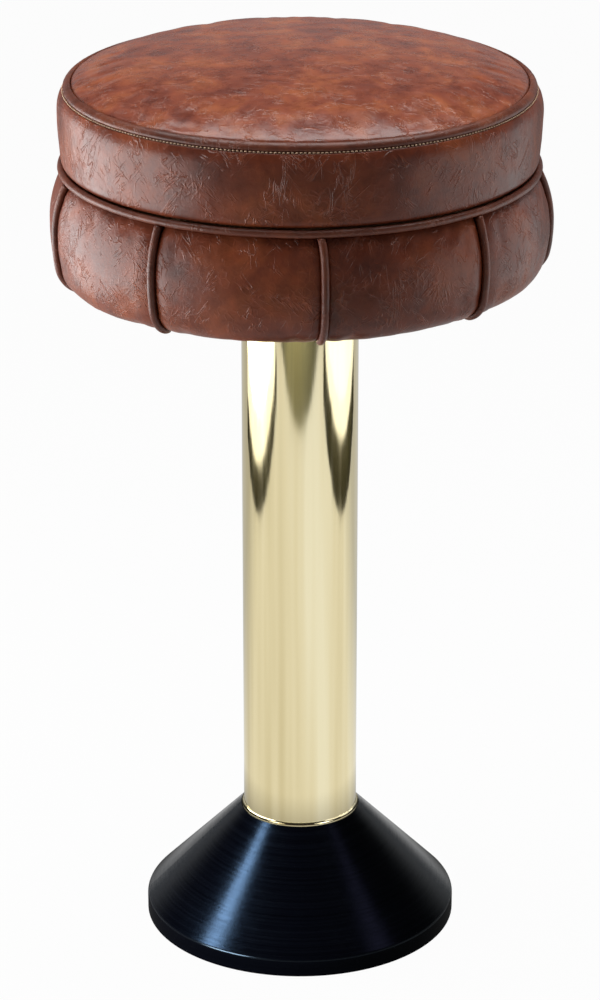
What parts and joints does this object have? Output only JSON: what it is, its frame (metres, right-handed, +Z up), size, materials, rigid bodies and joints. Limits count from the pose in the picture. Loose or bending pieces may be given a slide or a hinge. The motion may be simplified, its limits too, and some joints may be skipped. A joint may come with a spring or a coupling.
{
  "type": "counter stool",
  "caption": "Fixed counter stool: round two-tier upholstered seat with piping that swivels on a brass-sleeved column over a conical base cover and a bolt-down floor flange.",
  "frame": {"origin": "on the floor, at the centre of the floor bolt circle, under the column's axis", "axes": "+Z up along the column, which is the swivel axis; -Z leaves the floor bolt holes; -Y is the side seen in the picture"},
  "size_m": [0.4302, 0.4299, 0.8015],
  "materials": {
    "flange_steel": "satin black",
    "post_steel": "mill finish",
    "cover_paint": "satin black with spinning lines",
    "sleeve_brass": "polished",
    "nylon": "natural",
    "hub_steel": "turned",
    "bearing_steel": "ground",
    "bronze": "oiled",
    "plate_paint": "satin black",
    "zinc_steel": "zinc plated",
    "plywood": "sanded",
    "foam": "open cell",
    "seat_vinyl": "semi-gloss, crinkled",
    "welt_vinyl": "semi-gloss",
    "dust_cloth": "nonwoven"
  },
  "bodies": {
    "column": {"floor_flange": "flange_steel", "gussets": "flange_steel", "inner_post": "post_steel", "base_cover": "cover_paint", "column_sleeve": "sleeve_brass", "sleeve_lower_ring": "nylon", "sleeve_upper_ring": "nylon", "sleeve_cap": "sleeve_brass", "bearing_hub": "hub_steel", "hub_set_screws": "hub_steel", "upper_bushing": "bronze", "lower_bushing": "bronze", "lower_race": "bearing_steel"},
    "bearing": {"ball_cage": "bronze", "bearing_balls": "bearing_steel"},
    "seat": {"upper_race": "bearing_steel", "spindle": "hub_steel", "thrust_washer": "bearing_steel", "retaining_ring": "bearing_steel", "seat_plate": "plate_paint", "seat_bolts": "zinc_steel", "bolt_washers": "zinc_steel", "t_nuts": "zinc_steel", "seat_base_board": "plywood", "seat_hoop": "plywood", "seat_top_board": "plywood", "hoop_screws": "zinc_steel", "board_screws": "zinc_steel", "band_padding": "foam", "lower_band_panels": "seat_vinyl", "band_welts": "welt_vinyl", "middle_welt": "welt_vinyl", "seat_foam": "foam", "seat_boxing": "seat_vinyl", "top_welt": "welt_vinyl", "seat_top_panel": "seat_vinyl", "dust_cover": "dust_cloth", "cover_staples": "zinc_steel"}
  },
  "joints": [
    {"name": "seat_swivel", "type": "hinge", "parent": "column", "child": "seat", "pos_m": [0, 0, 0.592], "axis": [0, 0, 1], "continuous": true},
    {"name": "cage_turn", "type": "hinge", "parent": "column", "child": "bearing", "pos_m": [0, 0, 0.5977], "axis": [0, 0, 1], "continuous": true}
  ],
  "couplings": [
    {"joint": "cage_turn", "follows": "seat_swivel", "ratio": 0.5}
  ]
}
